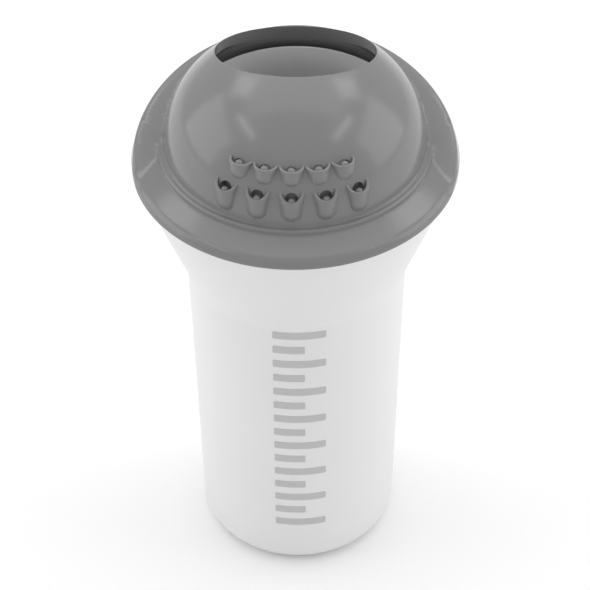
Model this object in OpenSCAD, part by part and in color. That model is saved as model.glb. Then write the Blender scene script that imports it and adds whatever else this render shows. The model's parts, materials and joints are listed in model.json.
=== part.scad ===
// Hand-held straining cup: a tapered white beaker with a twist-off domed head.
// The head has ten scoop-shaped spouts on its front, one slanted opening
// behind its crown, and a hood round its back. Heights are measured up from the face the cup stands on.
// The spouts face -Y and the opening faces +Y.

/* [Cup] */
// Height of the plane where the head's rim meets the cup
rim_height = 120; // [110:1:140]
// Radius at the foot, before its corner is rounded
foot_radius = 25.9; // [24:0.1:27.5]
// Rounding of the foot's corner
foot_round = 5; // [3:0.5:8]
// Radius where the body turns into the flare
shoulder_radius = 27.7; // [27:0.1:28.2]
// Height of that turn below the rim plane
shoulder_drop = 31; // [28:0.5:36]
// Thickness of the moulded walls
wall = 2; // [1.6:0.1:2.2]

/* [Neck and thread] */
// Outside radius of the neck that the head screws onto
neck_radius = 28.4; // [28:0.1:28.6]
// Height of the neck above the rim plane
neck_rise = 14; // [10:0.5:15]
// Rise of the thread in one full turn
thread_pitch = 4; // [3:0.5:5]
// Full turns of thread on the neck
thread_turns = 1.5; // [1:0.25:1.75]

/* [Head] */
// Radius of the head's rim
rim_radius = 40; // [38:0.5:44]
// Rounding of the rim
rim_round = 3; // [2:0.25:3.5]
// Slope of the skirt in degrees
skirt_slope = 25; // [20:1:28]
// Radius of the dome where it stands on the skirt
dome_radius = 31.9; // [31.6:0.1:33]
// Height of the dome's widest circle above the rim plane
dome_base = 6.6; // [6.4:0.1:7.4]
// Height from there to where the uncut crown would be
dome_rise = 27.5; // [25:0.1:30]
// Radius of the dome's side, before it turns into the flatter crown
dome_side_radius = 24; // [20:0.5:25]

// Height that the hood behind the dome would reach above the rim plane
hood_rise = 28; // [27:0.5:30]
// Slope of the face that cuts the hood off towards the front, in degrees
hood_slope = 24; // [20:1:28]

/* [Opening] */
// Slope of the opening down to the back, in degrees
opening_slope = 19; // [10:1:30]
// Distance of the opening's plane from the centre of the dome's base
opening_distance = 22; // [20:0.1:24]
// Radius of the opening, as seen from above
opening_radius = 18.4; // [16:0.1:19]
// Distance of the opening's middle behind the axis
opening_offset = 9.1; // [7:0.1:10]

/* [Spouts] */
// Width of one spout
spout_width = 6; // [5:0.1:6.4]
// Thickness of a spout's wall
spout_wall = 0.7; // [0.6:0.05:1]
// Radius of the peg inside a spout
peg_radius = 1.05; // [0.8:0.05:1.2]
// Radius of the drain hole behind the peg
drain_radius = 1.5; // [1.2:0.05:1.6]
// Spouts in one row
row_count = 5; // [3:2:5]

/* [Print] */
// Bars in the printed column
bar_count = 15; // [7:2:15]
// Height of one bar
bar_height = 2.4; // [1:0.1:3]
// Distance from one bar to the next
bar_step = 5; // [3.5:0.1:5]
// Length of the long bars
bar_length = 13.4; // [8:0.1:16]

/* [Hidden] */
$fn = 240;
overlap = 0.1;
clear = 1;
far = 200;

// Cup
side_slope = atan((shoulder_radius - foot_radius) / (rim_height - shoulder_drop));
shoulder_z = rim_height - shoulder_drop;
floor_thickness = 2.5;
inner_foot_round = 4;
foot_recess_radius = 14;
foot_recess = 0.8;
flare_gap = 0.4;
flare_top_radius = rim_radius - 1.2;
flare_top_z = rim_height - flare_gap;
flare_lean = (flare_top_radius - shoulder_radius) / (flare_top_z - shoulder_z);
channel_floor_z = rim_height - 19;
neck_top_z = rim_height + neck_rise;
neck_slack = 0.2;
neck_inner_radius = neck_radius - wall + neck_slack;
neck_tip_radius = neck_radius - 0.5;
lip_height = 6;
lip_thickness = 0.5;

// Thread
thread_depth = 1.1;
thread_width = 2;
thread_crest = 1;
thread_start_z = rim_height - 6.5;
thread_steps = 36;
thread_root = 0.3;

// Head
rim_centre = [rim_radius - rim_round, 0];
skirt_top = rim_centre + rim_round * [sin(skirt_slope), cos(skirt_slope)];
ledge_radius = dome_radius + 1.6;
ledge_top = dome_base - 0.2;
ledge_round = 0.6;
foot_fillet = 0.8;
collar_drop = 10.5;
collar_inner_radius = dome_radius - wall;
crown_radius = (pow(dome_radius - dome_side_radius, 2) + pow(dome_rise, 2) - pow(dome_side_radius, 2))
             / (2 * (dome_rise - dome_side_radius));

join_angle = atan2(crown_radius - dome_rise, dome_radius - dome_side_radius);
dome_steps = 12;
round_steps = 5;
skirt_chamfer = 1;
skirt_chamfer_foot = 0.6;
skirt_slack = 0.3;

// Hood: an oval on the rim plane, the height at which its front face crosses
// the axis, and the angle up to which it stands outside the dome
hood_face_height = 7;
hood_angle = 50;
dome_spare = 1;

// Seal ring, in a groove inside the foot of the dome
seal_bottom = rim_height + 5.8;
seal_height = 2.2;
seal_inner_radius = neck_radius + 0.1;
seal_outer_radius = collar_inner_radius + 0.7;

// Spout rows, front and back: distance of the front face from the axis,
// height of the front of the top edge above the rim plane, rise of the top
// edge towards the dome in degrees, angle from one spout to the next, and
// angle at which the drain holes leave the side of the dome
row_front = [32.8, 29.9];
row_top = [14.1, 20.9];
row_rise = [29, 0];
row_step = [15, 12.8];
drain_angle = [18, 33];
drain_length = 4;
row_depth = [7, 6];
spout_arm = 4;
spout_inner_radius = spout_width / 2 - spout_wall;
peg_embed = 0.15;
peg_foot = 2.2;

// Print
bar_thickness = 0.1;
bar_turn = 3;
bar_centre_z = 52;
short_bar = 0.6;

function skirt_height(r) = skirt_top[1] + (skirt_top[0] - r) * tan(skirt_slope);
function side_radius(z) = foot_radius + z * tan(side_slope);
function flare_radius(z) = shoulder_radius + (z - shoulder_z) * flare_lean;

// The right-hand half of the plane, for outlines that are turned about the axis
module right_half() {
    translate([0, -far])
        square([far, 2 * far]);
}

// A tapered bar from z = bottom upwards, with its lower corner rounded.
// inset moves the whole outline inwards.
module rounded_foot(bottom, round_radius, inset, top) {
    slope_inset = inset / cos(side_slope);
    centre_x = side_radius(bottom + round_radius) - slope_inset - round_radius / cos(side_slope);
    touch = [centre_x + round_radius * cos(side_slope), bottom + round_radius * (1 - sin(side_slope))];
    translate([centre_x, bottom + round_radius])
        circle(round_radius);
    polygon([[0, bottom], [centre_x, bottom], [centre_x, bottom + round_radius], touch,
             [side_radius(top) - slope_inset, top], [0, top]]);
}

// Flare and neck as one outline, with the open channel between them
module flare_and_neck() {
    polygon([[0, shoulder_z], [shoulder_radius, shoulder_z], [flare_top_radius, flare_top_z],
             [flare_top_radius - wall, flare_top_z],
             [flare_radius(channel_floor_z) - wall, channel_floor_z],
             [neck_radius, channel_floor_z], [neck_radius, neck_top_z - lip_height],
             [neck_tip_radius, neck_top_z], [0, neck_top_z]]);
}

// The bell-mouthed hollow of the neck
module neck_hollow() {
    lip_inner_radius = neck_tip_radius - lip_thickness;
    lip_spread = lip_inner_radius - neck_inner_radius;
    bell_radius = (lip_height * lip_height + lip_spread * lip_spread) / (2 * lip_spread);
    polygon([[0, shoulder_z - overlap],
             [side_radius(shoulder_z) - wall / cos(side_slope), shoulder_z - overlap],
             [neck_inner_radius, shoulder_z + lip_height], [neck_inner_radius, neck_top_z - lip_height],
             [0, neck_top_z - lip_height]]);
    difference() {
        translate([0, neck_top_z - lip_height - overlap])
            square([lip_inner_radius, lip_height + 2 * overlap]);
        translate([neck_inner_radius + bell_radius, neck_top_z - lip_height])
            circle(bell_radius);
    }
}

module cup() {
    color("white")
        difference() {
            rotate_extrude()
                intersection() {
                    right_half();
                    union() {
                        rounded_foot(0, foot_round, 0, shoulder_z);
                        flare_and_neck();
                    }
                }
            rotate_extrude()
                intersection() {
                    right_half();
                    union() {
                        rounded_foot(floor_thickness, inner_foot_round, wall, shoulder_z);
                        neck_hollow();
                    }
                }
            translate([0, 0, -clear])
                cylinder(h = clear + foot_recess, r = foot_recess_radius);
        }
}

// One helical ridge as a single closed solid. side is 1 for a ridge that
// stands outwards from its root radius and -1 for one that stands inwards.
module ridge(root_radius, side, start_z, start_angle) {
    steps = round(thread_turns * thread_steps);
    section = [[-side * thread_root, -thread_width / 2], [side * thread_depth, -thread_crest / 2],
               [side * thread_depth, thread_crest / 2], [-side * thread_root, thread_width / 2]];
    points = [for (i = [0:steps], p = section)
        let (turn = 360 * i / thread_steps + start_angle, r = root_radius + p[0])
            [r * cos(turn), r * sin(turn), start_z + thread_pitch * i / thread_steps + p[1]]];
    walls = [for (i = [0:steps - 1], j = [0:3])
        let (a = 4 * i + j, b = 4 * i + (j + 1) % 4)
            side > 0 ? [a, b, b + 4, a + 4] : [a, a + 4, b + 4, b]];
    first = side > 0 ? [3, 2, 1, 0] : [0, 1, 2, 3];
    last = [for (k = first) 4 * steps + 3 - k];
    polyhedron(points, concat([first], walls, [last]), convexity = 4);
}

module neck_thread() {
    color("white")
        ridge(neck_radius, 1, thread_start_z, 0);
}

module seal_ring() {
    color("dimgray")
        translate([0, 0, seal_bottom])
            difference() {
                cylinder(h = seal_height, r = seal_outer_radius);
                translate([0, 0, -clear])
                    cylinder(h = seal_height + 2 * clear, r = seal_inner_radius);
            }
}

// Point at an angle on the arc of a two-centre oval that stands on z = 0: a
// round side that runs tangent into a flatter crown. inset gives the same oval
// for the inside of the wall.
function side_point(angle, inset) =
    [dome_radius - dome_side_radius, 0] + (dome_side_radius - inset) * [cos(angle), sin(angle)];
function crown_point(angle, inset) =
    [0, dome_rise - crown_radius] + (crown_radius - inset) * [cos(angle), sin(angle)];

module dome_outline(inset) {
    polygon(concat([[0, 0]],
                   [for (i = [0:dome_steps]) side_point(join_angle * i / dome_steps, inset)],
                   [for (i = [1:dome_steps - 1])
                       crown_point(join_angle + (90 - join_angle) * i / dome_steps, inset)],
                   [[0, dome_rise - inset]]));
}

// Points of an arc, as a polygon's corners
function arc_points(centre, radius, from, to) =
    [for (i = [0:round_steps]) let (a = from + (to - from) * i / round_steps)
        centre + radius * [cos(a), sin(a)]];

// Outside of the head in front, filled to the axis: rim, skirt, the ring that
// the dome stands on, and the dome
module front_outline() {
    polygon(concat([[0, 0]],
                   arc_points(rim_centre, rim_round, 0, 90 - skirt_slope),
                   [[ledge_radius, skirt_height(ledge_radius)]],
                   arc_points([ledge_radius - ledge_round, ledge_top - ledge_round], ledge_round, 0, 90),
                   arc_points([dome_radius + foot_fillet, ledge_top + foot_fillet], foot_fillet, 270, 180),
                   [[0, ledge_top + foot_fillet]]));
    translate([0, dome_base])
        dome_outline(0);
}

// Outside of the head at the back, filled to the axis. Above the hood it's
// bigger than the dome, which the front's outline then cuts free.
module back_outline() {
    polygon(concat([[0, 0]],
                   [for (i = [0:dome_steps]) let (a = hood_angle * i / dome_steps)
                       [rim_radius * cos(a), hood_rise * sin(a)]],
                   [[0, hood_rise * sin(hood_angle)]]));
    translate([0, dome_base])
        dome_outline(-dome_spare);
}

// Everything outside the front's outline, in front of the hood's sloping face
module around_the_front() {
    intersection() {
        rotate_extrude()
            difference() {
                translate([0, -clear])
                    square([rim_radius + clear, dome_base + dome_rise + 3 * clear]);
                front_outline();
                translate([0, -2 * clear])
                    square([rim_radius, 2 * clear]);
            }
        translate([0, 0, hood_face_height])
            rotate([hood_slope, 0, 0])
                translate([-far / 2, -far / 2, 0])
                    cube(far);
    }
}

// Space under the skirt, between the rim and the threaded collar
module skirt_hollow() {
    outer = rim_radius - wall;
    shoulder = outer - skirt_chamfer;
    polygon([[dome_radius, -clear], [outer, -clear], [outer, skirt_chamfer_foot],
             [shoulder, skirt_height(shoulder) - wall - skirt_slack],
             [dome_radius, skirt_height(ledge_radius) - wall]]);
}

module collar_outline() {
    translate([0, -collar_drop])
        square([dome_radius, collar_drop + overlap]);
}

// Everything inside the wall of the dome and its collar
module head_hollow() {
    translate([0, dome_base])
        dome_outline(wall);
    translate([0, -collar_drop - clear])
        square([collar_inner_radius, collar_drop + clear + dome_base + overlap]);
    translate([0, seal_bottom - rim_height - overlap])
        square([seal_outer_radius + overlap, seal_height + 2 * overlap]);
}

// Places its children at each spout of a row, with their origin on the axis
// of the spout's round front at the level of its top edge
module at_each_spout(row) {
    for (i = [0:row_count - 1])
        rotate([0, 0, (i - (row_count - 1) / 2) * row_step[row]])
            translate([0, spout_width / 2 - row_front[row], rim_height + row_top[row]])
                children();
}

// Round-ended bar that stands on a ball, with its back reaching towards the
// axis of the head by arm
module scoop_body(radius, depth, top, arm) {
    ball_z = spout_width / 2 - depth;
    translate([0, 0, ball_z]) {
        sphere(radius);
        cylinder(h = top - ball_z, r = radius);
        translate([-radius, 0, 0])
            cube([2 * radius, arm, top - ball_z]);
        rotate([-90, 0, 0])
            cylinder(h = arm, r = radius);
    }
}

// U-shaped scoop with a round bottom, open towards the axis of the head, with
// its peg. rise tilts its top edge up towards the dome.
module spout(depth, rise) {
    difference() {
        scoop_body(spout_width / 2, depth, depth, spout_arm);
        scoop_body(spout_inner_radius, depth, depth + overlap, spout_arm + overlap);
        translate([0, -spout_width / 2, 0])
            rotate([rise, 0, 0])
                translate([-far / 2, -far / 2, 0])
                    cube(far);
    }
    translate([0, peg_radius - spout_inner_radius - peg_embed, peg_foot - depth])
        cylinder(h = depth - peg_foot, r = peg_radius);
}

// Bores that leave the side of the dome at right angles, behind each peg
module drain_holes(row) {
    for (i = [0:row_count - 1])
        rotate([0, 0, (i - (row_count - 1) / 2) * row_step[row]])
            translate([0, dome_side_radius - dome_radius, rim_height + dome_base])
                rotate([90 - drain_angle[row], 0, 0])
                    translate([0, 0, dome_side_radius - drain_length])
                        cylinder(h = 2 * drain_length, r = drain_radius);
}

module head() {
    color("gray")
        difference() {
            translate([0, 0, rim_height])
                rotate_extrude()
                    difference() {
                        union() {
                            back_outline();
                            collar_outline();
                        }
                        head_hollow();
                        skirt_hollow();
                    }
            translate([0, 0, rim_height])
                around_the_front();
            for (row = [0, 1])
                drain_holes(row);
            translate([0, 0, rim_height + dome_base])
                rotate([-opening_slope, 0, 0])
                    translate([-far / 2, -far / 2, opening_distance])
                        cube(far);
            translate([0, opening_offset, rim_height + dome_base])
                cylinder(h = dome_rise, r = opening_radius);
        }
}

// One row of spouts, trimmed to stand on the outside of the head
module spout_row(row) {
    color("gray")
        difference() {
            at_each_spout(row)
                spout(row_depth[row], row_rise[row]);
            translate([0, 0, rim_height])
                rotate_extrude()
                    front_outline();
        }
}

module head_thread() {
    color("gray")
        ridge(collar_inner_radius, -1, thread_start_z - thread_pitch / 2, 0);
}

// Plain bars in a column, in a thin layer on the front of the cup
module printed_bars() {
    first_z = bar_centre_z - bar_step * (bar_count - 1) / 2;
    color("silver")
        intersection() {
            difference() {
                cylinder(h = shoulder_z, r1 = foot_radius + bar_thickness, r2 = shoulder_radius + bar_thickness);
                cylinder(h = shoulder_z, r1 = foot_radius, r2 = shoulder_radius);
            }
            for (i = [0:bar_count - 1])
                rotate([0, 0, bar_turn])
                    translate([-bar_length / 2, -far / 2, first_z + i * bar_step - bar_height / 2])
                        cube([bar_length * (i % 2 == 0 ? 1 : short_bar), far / 2, bar_height]);
        }
}

cup();
neck_thread();
printed_bars();
seal_ring();
head();
head_thread();
spout_row(0);  // front_spouts
spout_row(1);  // back_spouts
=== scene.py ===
# %% [markdown]
# # A hand-held cup with a domed spout head
#
# The real object is three loose mouldings: a satin white cup, a polished grey head that screws
# onto the cup's neck, and a soft seal ring between them, with a mark printed in grey ink on the
# cup. This lesson builds each of them at the size and place that the CAD frame gives, finishes
# them with procedural materials, and sets them in a plain white studio.

# %% Load the frame
import json
import math

import bmesh
import bpy
from mathutils import Matrix, Vector


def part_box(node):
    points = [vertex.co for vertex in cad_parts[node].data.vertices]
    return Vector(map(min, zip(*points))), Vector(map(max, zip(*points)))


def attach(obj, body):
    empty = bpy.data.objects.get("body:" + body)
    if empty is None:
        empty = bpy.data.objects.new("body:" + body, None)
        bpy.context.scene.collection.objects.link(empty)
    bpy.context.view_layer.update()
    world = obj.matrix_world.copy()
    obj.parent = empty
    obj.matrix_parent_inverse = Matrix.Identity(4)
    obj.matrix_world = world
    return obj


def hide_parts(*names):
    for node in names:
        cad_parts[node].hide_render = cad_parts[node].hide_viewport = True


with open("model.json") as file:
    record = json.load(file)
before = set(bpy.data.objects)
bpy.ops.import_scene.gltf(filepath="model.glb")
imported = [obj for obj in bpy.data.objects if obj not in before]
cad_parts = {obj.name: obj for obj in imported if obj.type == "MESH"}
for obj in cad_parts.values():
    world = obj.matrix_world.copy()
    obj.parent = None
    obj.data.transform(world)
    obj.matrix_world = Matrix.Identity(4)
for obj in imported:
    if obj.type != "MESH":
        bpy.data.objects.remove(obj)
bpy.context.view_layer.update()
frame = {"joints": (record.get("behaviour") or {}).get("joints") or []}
MM = 0.001

# %% [markdown]
# ## Sizes
#
# The boxes of the CAD nodes and the joint give the main heights and radii. What a box can't
# tell, such as a fillet or the slope of the opening, is named here in millimetres, as the CAD
# model has it. The opening's plane is a hair lower than the CAD's, so that the rounded lip stays
# inside its box, and the two soft values have no counterpart there. Heights called a rise are
# measured from the plane where the rim meets the cup.

# %% Sizes from the frame, in millimetres
RIM_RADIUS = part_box("head")[1][0] / MM
HEAD_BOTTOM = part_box("head")[0][2] / MM
FLARE_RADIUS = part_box("cup")[1][0] / MM
NECK_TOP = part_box("cup")[1][2] / MM
SEAL_LOW, SEAL_HIGH = (corner[2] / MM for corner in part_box("seal_ring"))
RIM_Z = next(j["pos_m"][2] for j in frame["joints"] if j["name"] == "head_turn") / MM
print("rim plane", round(RIM_Z, 2), "rim radius", round(RIM_RADIUS, 2), "neck top", round(NECK_TOP, 2))

# %% Sizes that belong to the shape
WALL = 2.0
FOOT_RADIUS = 25.9
SHOULDER_RADIUS = 27.7
SHOULDER_Z = RIM_Z - 31
NECK_RADIUS = 28.4
CHANNEL_FLOOR_Z = RIM_Z - 19
LIP_HEIGHT = 6.0
THREAD_PITCH = 4.0
THREAD_TURNS = 1.5
THREAD_DEPTH = 1.1
THREAD_START_Z = RIM_Z - 6.5
RIM_ROUND = 3.0
SKIRT_SLOPE = math.radians(25)
DOME_RADIUS = 31.9
DOME_BASE = RIM_Z + 6.6
DOME_RISE = 27.5
DOME_SIDE_RADIUS = 24.0
OPENING_SLOPE = math.radians(19)
OPENING_DISTANCE = 21.94
HOOD_RISE = 28.0
HOOD_FACE_Z = RIM_Z + 7
HOOD_SLOPE = math.radians(24)
HOOD_EDGE_SOFT = 4.0
HOOD_FOOT_SOFT = 2.0
LEDGE_RADIUS = DOME_RADIUS + 1.6
LEDGE_TOP = DOME_BASE - 0.2
ROUND_STEPS = 288

# %% [markdown]
# ## Helpers for node trees
#
# Geometry Nodes and shaders are both wired in code here. `Wire` stands for one socket, and
# Python's operators on it add Math nodes, so a formula reads as it would on paper. `Board`
# adds any other node from its type, its settings and the values or wires of its sockets.


# %% Wire and Board
class Wire:
    """One output socket, with Python's operators as Math nodes."""

    def __init__(self, board, socket):
        self.board = board
        self.socket = socket

    def maths(self, operation, first, second=0.0):
        return self.board.add("ShaderNodeMath", {"operation": operation}, {0: first, 1: second})["Value"]

    def __add__(self, other):
        return self.maths("ADD", self, other)

    def __radd__(self, other):
        return self.maths("ADD", other, self)

    def __sub__(self, other):
        return self.maths("SUBTRACT", self, other)

    def __rsub__(self, other):
        return self.maths("SUBTRACT", other, self)

    def __mul__(self, other):
        return self.maths("MULTIPLY", self, other)

    def __rmul__(self, other):
        return self.maths("MULTIPLY", other, self)

    def __truediv__(self, other):
        return self.maths("DIVIDE", self, other)

    def __rtruediv__(self, other):
        return self.maths("DIVIDE", other, self)

    def smaller(self, other):
        return self.maths("MINIMUM", self, other)

    def larger(self, other):
        return self.maths("MAXIMUM", self, other)

    def rounded(self):
        return self.maths("ROUND", self)

    def sine(self):
        return self.maths("SINE", self)

    def cosine(self):
        return self.maths("COSINE", self)


class Outputs:
    """The outputs of one node, by name."""

    def __init__(self, board, node):
        self.board = board
        self.node = node

    def __getitem__(self, name):
        return Wire(self.board, self.node.outputs[name])


class Board:
    """A node tree that is wired by calls."""

    def __init__(self, tree):
        self.tree = tree

    def add(self, kind, settings=None, inputs=None):
        node = self.tree.nodes.new(kind)
        for name, value in (settings or {}).items():
            setattr(node, name, value)
        for name, value in (inputs or {}).items():
            if isinstance(value, Wire):
                self.tree.links.new(value.socket, node.inputs[name])
            else:
                node.inputs[name].default_value = value
        return Outputs(self, node)


# %% Geometry trees with named inputs
SOCKETS = {"number": "NodeSocketFloat", "count": "NodeSocketInt", "material": "NodeSocketMaterial"}


def geometry_board(name, inputs):
    """A new Geometry Nodes tree with a geometry input and the named inputs."""
    tree = bpy.data.node_groups.new(name, "GeometryNodeTree")
    tree.interface.new_socket("Geometry", in_out="INPUT", socket_type="NodeSocketGeometry")
    for label, kind in inputs.items():
        tree.interface.new_socket(label, in_out="INPUT", socket_type=SOCKETS[kind])
    tree.interface.new_socket("Geometry", in_out="OUTPUT", socket_type="NodeSocketGeometry")
    board = Board(tree)
    return board, board.add("NodeGroupInput")


def finish_geometry(board, geometry, material):
    """Ends a tree the way the export needs it: instances made real, smooth, with a material."""
    real = board.add("GeometryNodeRealizeInstances", {}, {"Geometry": geometry})["Geometry"]
    smooth = board.add("GeometryNodeSetShadeSmooth", {}, {"Geometry": real})["Geometry"]
    coloured = board.add("GeometryNodeSetMaterial", {}, {
        "Geometry": smooth, "Material": material})["Geometry"]
    board.add("NodeGroupOutput", {}, {"Geometry": coloured})


def run_tree(name, base, tree, values):
    """Runs a tree once on a base mesh and returns the result as a plain mesh object."""
    holder = bpy.data.objects.new(name + "_base", base)
    bpy.context.scene.collection.objects.link(holder)
    modifier = holder.modifiers.new(name, "NODES")
    modifier.node_group = tree
    for item in tree.interface.items_tree:
        if item.in_out == "INPUT" and item.name in values:
            modifier[item.identifier] = values[item.name]
    evaluated = holder.evaluated_get(bpy.context.evaluated_depsgraph_get())
    mesh = bpy.data.meshes.new_from_object(evaluated)
    mesh.name = name
    holder.modifiers.remove(modifier)
    bpy.data.objects.remove(holder)
    piece = bpy.data.objects.new(name, mesh)
    bpy.context.scene.collection.objects.link(piece)
    return piece


# %% Mesh helpers
def turn_faces_outwards(piece, merge=1e-7):
    """Merges doubles, then points every face away from the solid."""
    work = bmesh.new()
    work.from_mesh(piece.data)
    bmesh.ops.remove_doubles(work, verts=work.verts, dist=merge)
    bmesh.ops.dissolve_degenerate(work, edges=work.edges, dist=merge)
    bmesh.ops.recalc_face_normals(work, faces=work.faces)
    open_edges = sum(1 for edge in work.edges if len(edge.link_faces) != 2)
    work.to_mesh(piece.data)
    work.free()
    print(piece.name, len(piece.data.polygons), "faces,", open_edges, "open edges")


def shade_by_angle(piece, degrees=38):
    """Smooth shading, with creases kept where the faces turn by more than this."""
    piece.data.polygons.foreach_set("use_smooth", [True] * len(piece.data.polygons))
    piece.data.set_sharp_from_angle(angle=math.radians(degrees))


def apply_modifiers(piece):
    """Turns a piece's modifiers into plain mesh."""
    evaluated = piece.evaluated_get(bpy.context.evaluated_depsgraph_get())
    mesh = bpy.data.meshes.new_from_object(evaluated)
    piece.modifiers.clear()
    piece.data = mesh


def cut_away(piece, cutter):
    """Boolean difference, applied, and the cutter removed."""
    modifier = piece.modifiers.new("cut", "BOOLEAN")
    modifier.operation = "DIFFERENCE"
    modifier.solver = "EXACT"
    modifier.object = cutter
    apply_modifiers(piece)
    bpy.data.objects.remove(cutter)


# %% [markdown]
# ## Outlines
#
# A moulding has no knife-sharp corner. Each outline is therefore a short list of corners, each
# with its own rounding radius, and `rounded` puts a true arc at every one of them. The same
# function serves the cup, the seal ring, the threads and the head.


# %% Rounded outlines
def rounded(corners, arc_steps=6):
    """Points of an open outline whose (r, z, radius) corners are rounded by arcs."""
    points = []
    for i, (r, z, radius) in enumerate(corners):
        here = Vector((r, z))
        if radius == 0 or i in (0, len(corners) - 1):
            points.append(here)
            continue
        back = Vector(corners[i - 1][:2]) - here
        ahead = Vector(corners[i + 1][:2]) - here
        half = back.angle(ahead) / 2
        if half > math.radians(89):
            points.extend([here] * (arc_steps + 1))
            continue
        reach = min(radius / math.tan(half), 0.48 * back.length, 0.48 * ahead.length)
        start = here + back.normalized() * reach
        end = here + ahead.normalized() * reach
        radius = reach * math.tan(half)
        centre = here + (back.normalized() + ahead.normalized()).normalized() * (radius / math.sin(half))
        sweep = (start - centre).angle_signed(end - centre)
        for k in range(arc_steps + 1):
            turn = Matrix.Rotation(-sweep * k / arc_steps, 2)
            points.append(centre + turn @ (start - centre))
    return points


def outline_mesh(name, points):
    """An outline in millimetres as a mesh of points and edges in the XZ plane."""
    mesh = bpy.data.meshes.new(name)
    edges = [(i, i + 1) for i in range(len(points) - 1)]
    mesh.from_pydata([(p[0] * MM, 0, p[1] * MM) for p in points], edges, [])
    return mesh


def arc(centre, radius, first, last, steps):
    """Corners of an arc between two angles in radians, with no rounding of their own."""
    return [(centre[0] + radius * math.cos(first + (last - first) * i / steps),
             centre[1] + radius * math.sin(first + (last - first) * i / steps), 0) for i in range(steps + 1)]


# %% [markdown]
# ## A tree that turns an outline about the axis
#
# The cup, the seal ring and both threads follow one rule: an outline is carried round the axis,
# and for a thread it climbs as it goes. A Screw modifier could do it, but then the ends of a
# thread would stop dead. This tree lays out a grid, looks up each outline point by its row, and
# turns it by its column. A run-out shrinks the outline to nothing at both ends of a thread.


# %% The turning tree
def turning_tree():
    board, given = geometry_board("turn_about_axis", {
        "Steps": "count", "Turns": "number", "Pitch": "number", "Run-out": "number", "Root": "number",
        "Material": "material"})
    tiny = 1e-6
    count = board.add("GeometryNodeAttributeDomainSize", {"component": "MESH"},
                      {"Geometry": given["Geometry"]})["Point Count"]
    grid = board.add("GeometryNodeMeshGrid", {}, {
        "Size X": 1.0, "Size Y": 1.0, "Vertices X": given["Steps"] + 1, "Vertices Y": count})["Mesh"]
    position = board.add("GeometryNodeInputPosition")["Position"]
    place = board.add("ShaderNodeSeparateXYZ", {}, {"Vector": position})
    along = place["X"] + 0.5
    row = ((place["Y"] + 0.5) * (count - 1)).rounded()
    looked_up = board.add("GeometryNodeSampleIndex", {"data_type": "FLOAT_VECTOR", "domain": "POINT"}, {
        "Geometry": given["Geometry"], "Value": position, "Index": row})["Value"]
    section = board.add("ShaderNodeSeparateXYZ", {}, {"Vector": looked_up})
    fade = ((along.smaller(1 - along) + tiny) / given["Run-out"].larger(tiny)).smaller(1.0)
    radius = given["Root"] + (section["X"] - given["Root"]) * fade
    height = section["Z"] * fade + given["Pitch"] * given["Turns"] * along
    angle = along * given["Turns"] * math.tau
    turned = board.add("ShaderNodeCombineXYZ", {}, {
        "X": radius * angle.cosine(), "Y": radius * angle.sine(), "Z": height})["Vector"]
    placed = board.add("GeometryNodeSetPosition", {}, {"Geometry": grid, "Position": turned})["Geometry"]
    closed = board.add("GeometryNodeMergeByDistance", {}, {"Geometry": placed, "Distance": 1e-7})["Geometry"]
    finish_geometry(board, closed, given["Material"])
    return board.tree


TURNING = turning_tree()
print(TURNING.name, len(TURNING.nodes), "nodes")


def turned_piece(name, points, material):
    """A closed outline in millimetres, turned once about the axis."""
    piece = run_tree(name, outline_mesh(name, points), TURNING, {
        "Steps": ROUND_STEPS, "Turns": 1.0, "Material": material})
    turn_faces_outwards(piece)
    shade_by_angle(piece)
    return piece


# %% [markdown]
# ## Finishes
#
# Four finishes cover the object. Both plastics are moulded: the white one has the fine matt
# grain that a spark-eroded mould leaves, and the grey one is polished, with the slow waviness
# of a thick moulding that shrank as it cooled. Each varies a little in colour and gloss, and
# each carries faint handling marks. The variation goes only into colour, roughness and bump.


# %% Moulded plastic
def plastic(name, colour, rough, grain, waviness, extras):
    """A moulded plastic: colour and roughness vary slowly, bump has grain and waves."""
    material = bpy.data.materials.new(name)
    material.use_nodes = True
    material.node_tree.nodes.clear()
    board = Board(material.node_tree)
    where = board.add("ShaderNodeTexCoord")["Object"]
    cloud = board.add("ShaderNodeTexNoise", {}, {"Vector": where, "Scale": 38.0, "Detail": 3.0})["Fac"]
    speck = board.add("ShaderNodeTexNoise", {}, {"Vector": where, "Scale": 900.0, "Detail": 2.0})["Fac"]
    stretched = board.add("ShaderNodeMapping", {}, {"Vector": where, "Scale": (260.0, 260.0, 30.0)})["Vector"]
    marks = board.add("ShaderNodeTexNoise", {}, {"Vector": stretched, "Scale": 1.0, "Detail": 4.0})["Fac"]
    scuffs = (marks - 0.62).larger(0.0) * 4.0
    dark = tuple(c * 0.965 for c in colour) + (1.0,)
    light = tuple(min(1.0, c * 1.03) for c in colour) + (1.0,)
    shade = (cloud * 0.75 + speck * 0.25).smaller(1.0)
    tint = board.add("ShaderNodeMix", {"data_type": "RGBA"}, {"Factor": shade, 6: dark, 7: light})
    tint_wire = Wire(board, tint.node.outputs[2])
    low, high = rough
    roughness = low + (high - low) * cloud + scuffs * 0.06
    fine = board.add("ShaderNodeTexNoise", {}, {"Vector": where, "Scale": 2600.0, "Detail": 1.0})["Fac"]
    slow = board.add("ShaderNodeTexNoise", {}, {"Vector": where, "Scale": 70.0, "Detail": 1.0})["Fac"]
    wave_bump = board.add("ShaderNodeBump", {}, {
        "Height": slow, "Strength": 1.0, "Distance": waviness})["Normal"]
    grain_bump = board.add("ShaderNodeBump", {}, {
        "Height": fine, "Strength": 1.0, "Distance": grain, "Normal": wave_bump})["Normal"]
    inputs = {"Base Color": tint_wire, "Roughness": roughness, "Normal": grain_bump}
    inputs.update(extras)
    shader = board.add("ShaderNodeBsdfPrincipled", {}, inputs)["BSDF"]
    board.add("ShaderNodeOutputMaterial", {}, {"Surface": shader})
    return material


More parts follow.
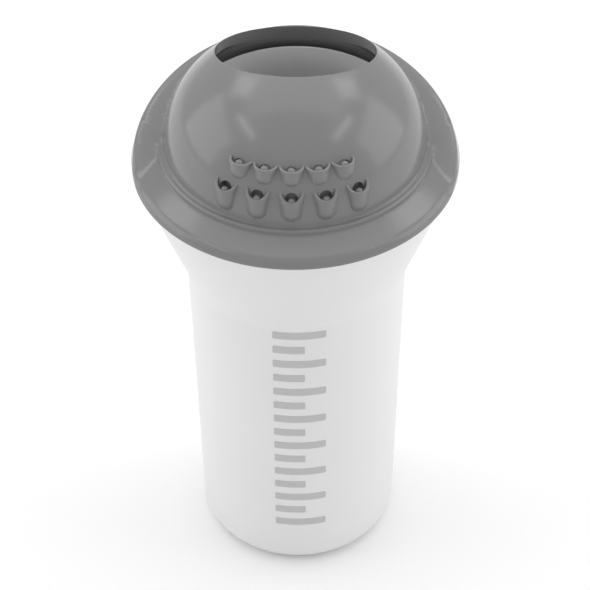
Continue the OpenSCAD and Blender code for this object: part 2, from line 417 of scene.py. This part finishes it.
CUP_WHITE = plastic("cup_white_satin", (0.75, 0.75, 0.754), (0.34, 0.42), 6e-6, 2e-5,
                    {"IOR": 1.49, "Specular IOR Level": 0.45})
HEAD_GREY = plastic("head_grey_polished", (0.196, 0.195, 0.195), (0.15, 0.21), 1e-6, 1.2e-5,
                    {"IOR": 1.5, "Specular IOR Level": 0.5})
SEAL_DARK = plastic("seal_silicone_matt", (0.032, 0.032, 0.036), (0.5, 0.6), 1e-5, 1e-5,
                    {"IOR": 1.41, "Specular IOR Level": 0.4})
PRINT_GREY = plastic("print_ink_grey", (0.5, 0.498, 0.498), (0.42, 0.5), 4e-6, 1e-5,
                     {"IOR": 1.48, "Specular IOR Level": 0.4})
for finish in (CUP_WHITE, HEAD_GREY, SEAL_DARK, PRINT_GREY):
    print(finish.name, len(finish.node_tree.nodes), "nodes")

# %% [markdown]
# ## The cup
#
# One moulding with an even wall: a foot with a shallow recess, a body that tapers so that it
# leaves its mould, a flare that meets the head's rim, an open channel inside the flare, and the
# neck, whose mouth opens like a bell. Its shape is the same all the way round, so its outline
# is drawn once and turned.


# %% Cup
FLARE_TOP_Z = RIM_Z - 0.4
CUP_FLOOR = 2.5
FOOT_RECESS = 0.8
RECESS_RADIUS = 14.0
FOOT_ROUND = 5.0
SHOULDER_ROUND = 9.0
INNER_ROUND = 20.0
LIP_THICKNESS = 0.5
MOUTH_STEPS = 8


def side_radius(z):
    return FOOT_RADIUS + (SHOULDER_RADIUS - FOOT_RADIUS) * z / SHOULDER_Z


def flare_radius(z):
    share = (z - SHOULDER_Z) / (FLARE_TOP_Z - SHOULDER_Z)
    return SHOULDER_RADIUS + (FLARE_RADIUS - SHOULDER_RADIUS) * share


def cup_outline():
    top = FLARE_TOP_Z
    inner_neck = NECK_RADIUS - WALL + 0.2
    tip = NECK_RADIUS - 0.5
    spread = tip - LIP_THICKNESS - inner_neck
    bell = (LIP_HEIGHT ** 2 + spread ** 2) / (2 * spread)
    bell_end = math.asin(LIP_HEIGHT / bell)
    angles = [bell_end * (1 - i / MOUTH_STEPS) for i in range(1, MOUTH_STEPS + 1)]
    mouth = [(inner_neck + bell - bell * math.cos(a), NECK_TOP - LIP_HEIGHT + bell * math.sin(a), 0)
             for a in angles]
    corners = [
        (0, FOOT_RECESS, 0), (RECESS_RADIUS - 0.4, FOOT_RECESS, 0.3), (RECESS_RADIUS, 0, 0.3),
        (side_radius(0), 0, FOOT_ROUND), (SHOULDER_RADIUS, SHOULDER_Z, SHOULDER_ROUND),
        (FLARE_RADIUS, top, 0.5), (FLARE_RADIUS - WALL, top, 0.5),
        (flare_radius(CHANNEL_FLOOR_Z) - WALL, CHANNEL_FLOOR_Z, 0.6), (NECK_RADIUS, CHANNEL_FLOOR_Z, 0.6),
        (NECK_RADIUS, NECK_TOP - LIP_HEIGHT, 3.0), (tip, NECK_TOP, 0.22),
        (tip - LIP_THICKNESS, NECK_TOP, 0.22)]
    corners += mouth
    corners += [(inner_neck, SHOULDER_Z + 6, INNER_ROUND),
                (side_radius(SHOULDER_Z) - WALL, SHOULDER_Z - 2, INNER_ROUND),
                (side_radius(CUP_FLOOR) - WALL, CUP_FLOOR, 4.0), (0, CUP_FLOOR, 0)]
    return rounded(corners, arc_steps=8)


cup = turned_piece("cup_moulding", cup_outline(), CUP_WHITE)
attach(cup, "cup")
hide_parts("cup")
print("cup outline has", len(cup_outline()), "points")

# %% [markdown]
# ## The threads
#
# The neck carries a ridge that climbs one and a half turns, and the head's collar carries its
# mate. Both run out to nothing at their ends, as a moulded thread does.


# %% Threads
RIDGE_EMBED = 0.3
STEPS_PER_TURN = 160


def ridge(name, root, side, start_z, material):
    """A helical ridge on a round wall; side is 1 to stand outwards, -1 to stand inwards."""
    corners = [(root - side * RIDGE_EMBED, -1.1, 0), (root, -1.0, 0.2),
               (root + side * THREAD_DEPTH, -0.5, 0.25),
               (root + side * THREAD_DEPTH, 0.5, 0.25), (root, 1.0, 0.2),
               (root - side * RIDGE_EMBED, 1.1, 0), (root - side * RIDGE_EMBED, -1.1, 0)]
    steps = int(THREAD_TURNS * STEPS_PER_TURN)
    piece = run_tree(name, outline_mesh(name, rounded(corners, 3)), TURNING, {
        "Steps": steps, "Turns": THREAD_TURNS, "Pitch": THREAD_PITCH * MM, "Run-out": 0.06,
        "Root": (root - side * 0.25) * MM, "Material": material})
    piece.data.transform(Matrix.Translation((0, 0, start_z * MM)))
    turn_faces_outwards(piece)
    shade_by_angle(piece, 50)
    return piece


neck_thread = ridge("neck_thread_ridge", NECK_RADIUS, 1, THREAD_START_Z, CUP_WHITE)
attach(neck_thread, "cup")
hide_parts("neck_thread")

head_thread = ridge("head_thread_ridge", DOME_RADIUS - WALL, -1, THREAD_START_Z - THREAD_PITCH / 2, HEAD_GREY)
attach(head_thread, "head")
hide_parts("head_thread")

# %% [markdown]
# ## The seal ring
#
# A soft silicone ring in a groove inside the foot of the dome. It has a rounded outer side and
# two thin lips that press on the neck, so its outline has a shallow notch between them.


# %% Seal ring
def seal_outline():
    inner = NECK_RADIUS + 0.1
    outer = DOME_RADIUS - WALL + 0.7
    middle = (SEAL_LOW + SEAL_HIGH) / 2
    corners = [(outer, middle, 0), (outer, SEAL_HIGH, 0.5), (inner, SEAL_HIGH, 0.25),
               (inner, middle + 0.45, 0.2), (inner + 0.4, middle, 0.3),
               (inner, middle - 0.45, 0.2), (inner, SEAL_LOW, 0.25),
               (outer, SEAL_LOW, 0.5), (outer, middle, 0)]
    return rounded(corners)


seal = turned_piece("seal_ring_silicone", seal_outline(), SEAL_DARK)
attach(seal, "seal")
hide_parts("seal_ring")

# %% [markdown]
# ## The head
#
# The dome is a round side that runs tangent into a flatter crown, cut by one sloping plane. A
# plane cut through a turned shape leaves ragged triangles, so the head isn't cut: its outline
# is worked out afresh at every angle, and ends where it meets the plane. Every outline has the
# same number of points, so the whole head is one clean grid, and its lip is rounded like
# every other corner. The wall ends straight down, as it does where two mould halves meet along
# the way they open. Behind the dome, the outside swells into a hood that runs from the rim up
# to the opening, and a sloping face cuts it off towards the front.

# %% Dome and opening
CROWN_RADIUS = ((DOME_RADIUS - DOME_SIDE_RADIUS) ** 2 + DOME_RISE ** 2 - DOME_SIDE_RADIUS ** 2) \
    / (2 * (DOME_RISE - DOME_SIDE_RADIUS))
JOIN_ANGLE = math.atan2(CROWN_RADIUS - DOME_RISE, DOME_RADIUS - DOME_SIDE_RADIUS)


def dome_point(angle, inset):
    """Radius and height on the dome where its surface faces up by this angle."""
    if angle < JOIN_ANGLE:
        return (DOME_RADIUS - DOME_SIDE_RADIUS + (DOME_SIDE_RADIUS - inset) * math.cos(angle),
                DOME_BASE + (DOME_SIDE_RADIUS - inset) * math.sin(angle))
    return ((CROWN_RADIUS - inset) * math.cos(angle),
            DOME_BASE + DOME_RISE - CROWN_RADIUS + (CROWN_RADIUS - inset) * math.sin(angle))


def angle_at_opening(turn):
    """The angle at which the dome meets the opening's plane, found by halving."""
    low, high = 0.0, math.pi / 2
    for _ in range(40):
        middle = (low + high) / 2
        r, z = dome_point(middle, 0)
        beyond = math.sin(OPENING_SLOPE) * r * math.sin(turn) + math.cos(OPENING_SLOPE) * (z - DOME_BASE)
        if beyond > OPENING_DISTANCE:
            high = middle
        else:
            low = middle
    return low


def angle_at_radius(radius, inset):
    """The angle at which the dome has this radius."""
    angle = math.acos(min(1.0, radius / (CROWN_RADIUS - inset)))
    if angle > JOIN_ANGLE:
        return angle
    return math.acos((radius - DOME_RADIUS + DOME_SIDE_RADIUS) / (DOME_SIDE_RADIUS - inset))


def soft_largest(first, second, softness):
    """The larger of two lengths, blended where they're nearly equal."""
    half = max(0.0, 1 - abs(first - second) / softness) / 2
    return max(first, second) + softness * half * half


def with_hood(point, turn):
    """Moves a point of the outside out to the hood, where the hood stands outside it."""
    up = point.y - RIM_Z
    reach = math.hypot(point.x, up)
    cosine, sine = point.x / reach, up / reach
    oval = 1 / math.hypot(cosine / RIM_RADIUS, sine / HOOD_RISE)
    rise = sine - cosine * math.sin(turn) * math.tan(HOOD_SLOPE)
    face = (HOOD_FACE_Z - RIM_Z) / max(rise, 0.02)
    hood = -soft_largest(-oval, -face, HOOD_EDGE_SOFT)
    scale = soft_largest(reach, hood, HOOD_FOOT_SOFT) / reach
    return Vector((min(point.x * scale, RIM_RADIUS), RIM_Z + up * scale))


def head_outline(turn):
    """The closed outline of the head at one angle about the axis."""
    skirt_top = (RIM_RADIUS - RIM_ROUND + RIM_ROUND * math.sin(SKIRT_SLOPE),
                 RIM_Z + RIM_ROUND * math.cos(SKIRT_SLOPE))

    def skirt(r):
        return skirt_top[1] + (skirt_top[0] - r) * math.tan(SKIRT_SLOPE)

    collar = DOME_RADIUS - WALL
    groove = collar + 0.8
    under = RIM_RADIUS - WALL
    outer_end = angle_at_opening(turn)
    inner_end = angle_at_radius(dome_point(outer_end, 0)[0], WALL)
    foot_angle = math.asin(1.2 / DOME_SIDE_RADIUS)
    seat_angle = math.asin((SEAL_HIGH + 0.1 - DOME_BASE) / (DOME_SIDE_RADIUS - WALL))
    outer = [(*dome_point(foot_angle + (outer_end - foot_angle) * i / 56, 0), 0) for i in range(57)]
    inner = [(*dome_point(inner_end + (seat_angle - inner_end) * i / 40, WALL), 0) for i in range(41)]
    outer[-1] = (*outer[-1][:2], 0.4)
    inner[0] = (*inner[0][:2], 0.3)
    inner[-1] = (*inner[-1][:2], 0.2)
    underside = [(under, RIM_Z + 0.3, 0), (under, RIM_Z, 0.25), (RIM_RADIUS - 0.3, RIM_Z, 0)]
    outside = arc((RIM_RADIUS - RIM_ROUND, RIM_Z), RIM_ROUND, math.radians(6), math.pi / 2 - SKIRT_SLOPE, 14)
    climb = [skirt_top[0] - i * (skirt_top[0] - LEDGE_RADIUS) / 8 for i in range(1, 8)]
    outside += [(r, skirt(r), 0) for r in climb]
    outside += [(LEDGE_RADIUS, skirt(LEDGE_RADIUS), 0.6), (LEDGE_RADIUS, LEDGE_TOP, 0.6),
                (DOME_RADIUS, LEDGE_TOP, 0.8)]
    outside = [with_hood(point, turn) for point in rounded(outside + outer[:-1])]
    corners = [(*outer[-2][:2], 0), outer[-1]] + inner
    corners += [(groove, SEAL_HIGH + 0.1, 0.2), (groove, SEAL_LOW - 0.1, 0.2), (collar, SEAL_LOW - 0.1, 0.2),
                (collar, HEAD_BOTTOM, 0.4), (DOME_RADIUS, HEAD_BOTTOM, 0.4),
                (DOME_RADIUS, skirt(LEDGE_RADIUS) - WALL, 0.8),
                (under - 1, skirt(under - 1) - WALL - 0.3, 0.6),
                (under, RIM_Z + 0.3, 0)]
    return rounded(underside) + outside + rounded(corners)[1:]


def head_mesh():
    points = []
    for step in range(ROUND_STEPS):
        turn = math.tau * step / ROUND_STEPS
        points += [(p.x * math.cos(turn) * MM, p.x * math.sin(turn) * MM, p.y * MM)
                   for p in head_outline(turn)[:-1]]
    rows = len(points) // ROUND_STEPS
    faces = []
    for step in range(ROUND_STEPS):
        near, far = step * rows, (step + 1) % ROUND_STEPS * rows
        faces += [(near + k, near + (k + 1) % rows, far + (k + 1) % rows, far + k) for k in range(rows)]
    mesh = bpy.data.meshes.new("head_moulding")
    mesh.from_pydata(points, [], faces)
    return mesh


head = bpy.data.objects.new("head_moulding", head_mesh())
bpy.context.scene.collection.objects.link(head)
head.data.materials.append(HEAD_GREY)
turn_faces_outwards(head, merge=1e-6)

# %% [markdown]
# ## The spouts
#
# Ten small scoops stand on the front of the dome in two curved rows. Each is a U-shaped wall
# with a round bottom, open towards the crown, with a round peg just inside its front and a
# drain hole behind the peg. One scoop is laid out as a grid that follows the U from one end to
# the other. The dome trims it once, and Geometry Nodes then set it out along its row, because
# the dome is the same at every angle.

# %% One spout
SPOUT_WIDTH = 6.0
SPOUT_WALL = 0.7
SPOUT_ARM = 4.0
SPOUT_ROUND = 0.2
PEG_RADIUS = 1.05
PEG_EMBED = 0.15
DRAIN_RADIUS = 1.5
PEG_FOOT = 2.2
DRAIN_LENGTH = 4.0
CORE_INSET = 0.5
CORE_DEPTH = 5.0
ROWS = {
    "front_spouts": {"front": 32.8, "top": 14.1, "depth": 7.0, "rise": math.radians(29),
                     "step": math.radians(15), "drain": math.radians(18)},
    "back_spouts": {"front": 29.9, "top": 20.9, "depth": 6.0, "rise": 0.0,
                    "step": math.radians(12.8), "drain": math.radians(33)},
}
SPOUTS_IN_ROW = 5


def spout_profile(top, depth):
    """Distance from the middle line and height, from the outside bottom over the rim to the inside bottom."""
    outer = SPOUT_WIDTH / 2
    inner = outer - SPOUT_WALL
    ball = outer - depth
    quarter = [math.pi / 2 * i / 10 for i in range(11)]
    rise = [(ball + (top - SPOUT_ROUND - ball) * i / 6) for i in range(1, 6)]
    edge = [SPOUT_ROUND * math.sin(a) for a in quarter[::3]]
    side = [SPOUT_ROUND * (1 - math.cos(a)) for a in quarter[::3]]
    profile = [(outer * math.sin(a), ball - outer * math.cos(a)) for a in quarter]
    profile += [(outer, z) for z in rise]
    profile += [(outer - x, top - SPOUT_ROUND + z) for x, z in zip(side, edge)]
    profile += [(inner + x, top - SPOUT_ROUND + z) for x, z in zip(side[::-1], edge[::-1])]
    profile += [(inner, z) for z in reversed(rise)]
    profile += [(inner * math.sin(a), ball - inner * math.cos(a)) for a in reversed(quarter)]
    return profile


def spout_mesh(row):
    """A scoop in the head's frame, at the front of the dome."""
    stations = [((0, SPOUT_ARM * (1 - i / 4)), math.pi) for i in range(4)]
    stations += [((0, 0), math.pi + math.pi * i / 28) for i in range(29)]
    stations += [((0, SPOUT_ARM * i / 4), math.tau) for i in range(1, 5)]
    place = Vector((0, SPOUT_WIDTH / 2 - row["front"], RIM_Z + row["top"]))
    work = bmesh.new()
    columns = []
    for (cx, cy), heading in stations:
        y = cy + SPOUT_WIDTH / 2 * math.sin(heading)
        top = (y + SPOUT_WIDTH / 2) * math.tan(row["rise"])
        columns.append([work.verts.new((place + Vector((
            cx + r * math.cos(heading), cy + r * math.sin(heading), z))) * MM)
            for r, z in spout_profile(top, row["depth"])])
    for near, far in zip(columns, columns[1:]):
        for k in range(len(near) - 1):
            work.faces.new((near[k], near[k + 1], far[k + 1], far[k]))
    work.faces.new(columns[0] + columns[-1][::-1])
    bmesh.ops.remove_doubles(work, verts=work.verts, dist=1e-7)
    bmesh.ops.recalc_face_normals(work, faces=work.faces)
    mesh = bpy.data.meshes.new("scoop")
    work.to_mesh(mesh)
    work.free()
    return mesh


def peg_mesh(row):
    """The peg of a scoop: a round rod with a domed top."""
    foot = PEG_FOOT - row["depth"]
    outline = [(0, foot), (PEG_RADIUS, foot)]
    outline += [(PEG_RADIUS * math.cos(a), PEG_RADIUS * (math.sin(a) - 0.85))
                for a in (math.pi / 2 * i / 8 for i in range(9))]
    peg = run_tree("peg", outline_mesh("peg", outline), TURNING, {
        "Steps": 28, "Turns": 1.0, "Material": HEAD_GREY})
    turn_faces_outwards(peg)
    peg.data.transform(Matrix.Translation(Vector((
        0, PEG_RADIUS + SPOUT_WALL - PEG_EMBED - row["front"], RIM_Z + row["top"])) * MM))
    mesh = peg.data
    bpy.data.objects.remove(peg)
    return mesh


def dome_core(inset):
    """A solid with the dome's outer shape, a little smaller, that trims the scoops."""
    dome = [dome_point(math.pi / 2 * i / 60, inset) for i in range(61)]
    bottom = RIM_Z - CORE_DEPTH
    points = [(0, bottom), (DOME_RADIUS - inset, bottom)] + dome[:-1] + [(0, DOME_BASE + DOME_RISE - inset)]
    return turned_piece("dome_core", points, HEAD_GREY)


def trimmed_spout(row):
    """A scoop and its peg, without what would reach into the dome."""
    parts = bmesh.new()
    for mesh in (spout_mesh(row), peg_mesh(row)):
        part = bpy.data.objects.new("scoop", mesh)
        bpy.context.scene.collection.objects.link(part)
        cut_away(part, dome_core(CORE_INSET))
        parts.from_mesh(part.data)
        bpy.data.objects.remove(part)
    mesh = bpy.data.meshes.new("trimmed_scoop")
    parts.to_mesh(mesh)
    parts.free()
    return mesh


def drain_mesh(row):
    """A bore that leaves the side of the dome at right angles."""
    work = bmesh.new()
    bmesh.ops.create_cone(work, cap_ends=True, segments=40, radius1=DRAIN_RADIUS * MM,
                          radius2=DRAIN_RADIUS * MM, depth=2 * DRAIN_LENGTH * MM)
    lean = Matrix.Rotation(math.pi / 2 - row["drain"], 4, "X")
    middle = Vector((0, DOME_SIDE_RADIUS - DOME_RADIUS, DOME_BASE)) * MM
    bmesh.ops.transform(work, verts=work.verts, matrix=Matrix.Translation(middle) @ lean @ Matrix.Translation(
        (0, 0, DOME_SIDE_RADIUS * MM)))
    mesh = bpy.data.meshes.new("drain_bore")
    work.to_mesh(mesh)
    work.free()
    return mesh


# %% The row tree
def row_tree():
    board, given = geometry_board("set_out_in_a_row", {
        "Count": "count", "Step": "number", "Material": "material"})
    line = board.add("GeometryNodeMeshLine", {}, {"Count": given["Count"]})["Mesh"]
    middle = board.add("ShaderNodeCombineXYZ")["Vector"]
    placed = board.add("GeometryNodeSetPosition", {}, {"Geometry": line, "Position": middle})["Geometry"]
    index = board.add("GeometryNodeInputIndex")["Index"]
    angle = (index - (given["Count"] - 1) / 2) * given["Step"]
    turn = board.add("ShaderNodeCombineXYZ", {}, {"Z": angle})["Vector"]
    copies = board.add("GeometryNodeInstanceOnPoints", {}, {
        "Points": placed, "Instance": given["Geometry"], "Rotation": turn})["Instances"]
    finish_geometry(board, copies, given["Material"])
    return board.tree


ROW_TREE = row_tree()
print(ROW_TREE.name, len(ROW_TREE.nodes), "nodes")


def set_out(name, base, row):
    return run_tree(name, base, ROW_TREE, {
        "Count": SPOUTS_IN_ROW, "Step": row["step"], "Material": HEAD_GREY})


# %% Both rows, and their drain holes in the head
for node, row in ROWS.items():
    spouts = set_out(node + "_scoops", trimmed_spout(row), row)
    turn_faces_outwards(spouts)
    shade_by_angle(spouts, 35)
    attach(spouts, "head")
    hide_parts(node)
    cut_away(head, set_out("drain_bores", drain_mesh(row), row))

turn_faces_outwards(head, merge=1e-6)
shade_by_angle(head)
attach(head, "head")
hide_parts("head")

# %% [markdown]
# ## The printed mark
#
# A plain column of bars in grey ink runs up the front of the cup. Pad printing lays down a
# film a few hundredths of a millimetre thick, so each bar is a thin raised shape with rounded
# corners. Geometry Nodes set the bars out in a column and wrap them onto the cone of the cup.

# %% Printed bars
BAR_COUNT = 15
BAR_STEP = 5.0
BAR_HEIGHT = 2.4
BAR_LENGTH = 13.4
SHORT_BAR = 0.6
BAR_FILM = 0.08
BAR_CENTRE_Z = 52.0
BAR_TURN = math.radians(3)


def bar_mesh(length):
    """One flat bar with rounded corners in the XZ plane, thick towards -Y."""
    corner = 0.35
    half = BAR_HEIGHT / 2
    left = -BAR_LENGTH / 2
    right = left + length
    centres = [(right - corner, half - corner, 0), (left + corner, half - corner, 90),
               (left + corner, corner - half, 180), (right - corner, corner - half, 270)]
    edge = []
    for x, z, start in centres:
        for k in range(5):
            a = math.radians(start + 22.5 * k)
            edge.append((x + corner * math.cos(a), z + corner * math.sin(a)))
    work = bmesh.new()
    face = work.faces.new([work.verts.new((x * MM, 0, z * MM)) for x, z in edge])
    slices = [left + length * i / 24 for i in range(1, 24)]
    for x in slices:
        bmesh.ops.bisect_plane(work, geom=work.verts[:] + work.edges[:] + work.faces[:],
                               plane_co=(x * MM, 0, 0), plane_no=(1, 0, 0))
    grown = bmesh.ops.extrude_face_region(work, geom=work.faces[:])
    bmesh.ops.translate(work, verts=[v for v in grown["geom"] if isinstance(v, bmesh.types.BMVert)],
                        vec=(0, -BAR_FILM * MM, 0))
    bmesh.ops.recalc_face_normals(work, faces=work.faces)
    mesh = bpy.data.meshes.new("bar")
    work.to_mesh(mesh)
    work.free()
    return mesh


def column_tree():
    board, given = geometry_board("column_on_a_cone", {
        "Count": "count", "Step": "number", "First": "number", "Foot": "number", "Lean": "number",
        "Turn": "number", "Material": "material"})
    line = board.add("GeometryNodeMeshLine", {}, {"Count": given["Count"]})["Mesh"]
    index = board.add("GeometryNodeInputIndex")["Index"]
    spot = board.add("ShaderNodeCombineXYZ", {}, {"Z": given["First"] + index * given["Step"]})["Vector"]
    placed = board.add("GeometryNodeSetPosition", {}, {"Geometry": line, "Position": spot})["Geometry"]
    copies = board.add("GeometryNodeInstanceOnPoints", {}, {
        "Points": placed, "Instance": given["Geometry"]})["Instances"]
    real = board.add("GeometryNodeRealizeInstances", {}, {"Geometry": copies})["Geometry"]
    position = board.add("GeometryNodeInputPosition")["Position"]
    place = board.add("ShaderNodeSeparateXYZ", {}, {"Vector": position})
    cone = given["Foot"] + place["Z"] * given["Lean"]
    angle = place["X"] / cone + given["Turn"]
    reach = cone - place["Y"]
    wrapped = board.add("ShaderNodeCombineXYZ", {}, {
        "X": reach * angle.sine(), "Y": 0 - reach * angle.cosine(), "Z": place["Z"]})["Vector"]
    on_cup = board.add("GeometryNodeSetPosition", {}, {"Geometry": real, "Position": wrapped})["Geometry"]
    finish_geometry(board, on_cup, given["Material"])
    return board.tree


COLUMN_TREE = column_tree()
print(COLUMN_TREE.name, len(COLUMN_TREE.nodes), "nodes")


def bar_column(name, length, count, step, first):
    return run_tree(name, bar_mesh(length), COLUMN_TREE, {
        "Count": count, "Step": step * MM, "First": first * MM, "Foot": (FOOT_RADIUS - 0.01) * MM,
        "Lean": (SHOULDER_RADIUS - FOOT_RADIUS) / SHOULDER_Z, "Turn": BAR_TURN, "Material": PRINT_GREY})


first_bar = BAR_CENTRE_Z - BAR_STEP * (BAR_COUNT - 1) / 2
long_bars = bar_column("print_long_bars", BAR_LENGTH, (BAR_COUNT + 1) // 2, 2 * BAR_STEP, first_bar)
short_bars = bar_column("print_short_bars", BAR_LENGTH * SHORT_BAR, BAR_COUNT // 2, 2 * BAR_STEP,
                        first_bar + BAR_STEP)
for bars in (long_bars, short_bars):
    turn_faces_outwards(bars)
    shade_by_angle(bars, 30)
    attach(bars, "cup")
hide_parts("printed_bars")

# %% [markdown]
# ## Studio
#
# The cup stands on white in an even white light, as in a product photograph. The world and a
# broad box overhead light it from all round, and a panel on each side lights the flanks of the
# head. A soft box and a strip light on each side add pale patches and streaks to its polish.


# %% Floor, world and soft boxes
def white_floor():
    mesh = bpy.data.meshes.new("studio_floor")
    reach = 6.0
    mesh.from_pydata([(-reach, -reach, 0), (reach, -reach, 0), (reach, reach, 0), (-reach, reach, 0)], [],
                     [(0, 1, 2, 3)])
    floor = bpy.data.objects.new("studio_floor", mesh)
    bpy.context.scene.collection.objects.link(floor)
    material = bpy.data.materials.new("studio_white")
    material.use_nodes = True
    shader = material.node_tree.nodes["Principled BSDF"]
    shader.inputs["Base Color"].default_value = (0.93, 0.93, 0.93, 1)
    shader.inputs["Roughness"].default_value = 0.9
    shader.inputs["Specular IOR Level"].default_value = 0.0
    mesh.materials.append(material)


def white_world(strength):
    world = bpy.data.worlds.new("studio_world")
    world.use_nodes = True
    background = world.node_tree.nodes["Background"]
    background.inputs["Color"].default_value = (1, 1, 1, 1)
    background.inputs["Strength"].default_value = strength
    bpy.context.scene.world = world


def soft_box(name, direction, distance, size, radiance):
    """A lamp that faces the head from a direction; its power follows from its radiance."""
    middle = Vector((0, 0, RIM_Z * MM))
    data = bpy.data.lights.new(name, "AREA")
    data.shape = "RECTANGLE"
    data.size, data.size_y = size
    data.energy = radiance * math.pi * size[0] * size[1]
    lamp = bpy.data.objects.new(name, data)
    lamp.location = middle + Vector(direction).normalized() * distance
    lamp.rotation_euler = Vector(direction).to_track_quat("Z", "Y").to_euler()
    bpy.context.scene.collection.objects.link(lamp)


white_floor()
white_world(0.7)
soft_box("soft_box_top", (0, 0.5, 1.4), 1.6, (2.4, 1.8), 0.75)
for side, side_name in ((-1, "left"), (1, "right")):
    soft_box("side_panel_" + side_name, (side, 0.05, 0.35), 1.3, (1.0, 0.9), 1.3)
    soft_box("soft_box_" + side_name, (side * 0.55, 0.34, 0.76), 1.2, (0.34, 0.34), 1.9)
    soft_box("strip_light_" + side_name, (side * 0.6, -0.24, 0.76), 1.2, (0.5, 0.06), 5.0)
print(len(bpy.data.lights), "lamps")

# %% [markdown]
# ## Camera
#
# The camera looks down at the cup from a little over half a metre with a long lens. Its place
# is given by a distance, two angles and a slight roll about a point on the cup's axis.


# %% Camera
def place_camera(distance, azimuth, elevation, roll, aim_z, lens, sideways):
    back = Vector((math.sin(azimuth) * math.cos(elevation), -math.cos(azimuth) * math.cos(elevation),
                   math.sin(elevation)))
    level = Vector((math.cos(azimuth), math.sin(azimuth), 0))
    upright = back.cross(level)
    up = upright * math.cos(roll) + level * math.sin(roll)
    right = level * math.cos(roll) - upright * math.sin(roll)
    data = bpy.data.cameras.new("product_camera")
    data.lens = lens
    data.shift_x = sideways
    camera = bpy.data.objects.new("product_camera", data)
    camera.matrix_world = Matrix.Translation(Vector((0, 0, aim_z)) + back * distance) @ Matrix(
        (right, up, back)).transposed().to_4x4()
    bpy.context.scene.collection.objects.link(camera)
    bpy.context.scene.camera = camera


place_camera(distance=0.6, azimuth=math.radians(1.9), elevation=math.radians(42.97), roll=math.radians(0.54),
             aim_z=(RIM_Z - 44.9) * MM, lens=142.1, sideways=-0.003)
bpy.context.scene.view_settings.view_transform = "Standard"
print("camera at", [round(v, 3) for v in bpy.context.scene.camera.matrix_world.translation])
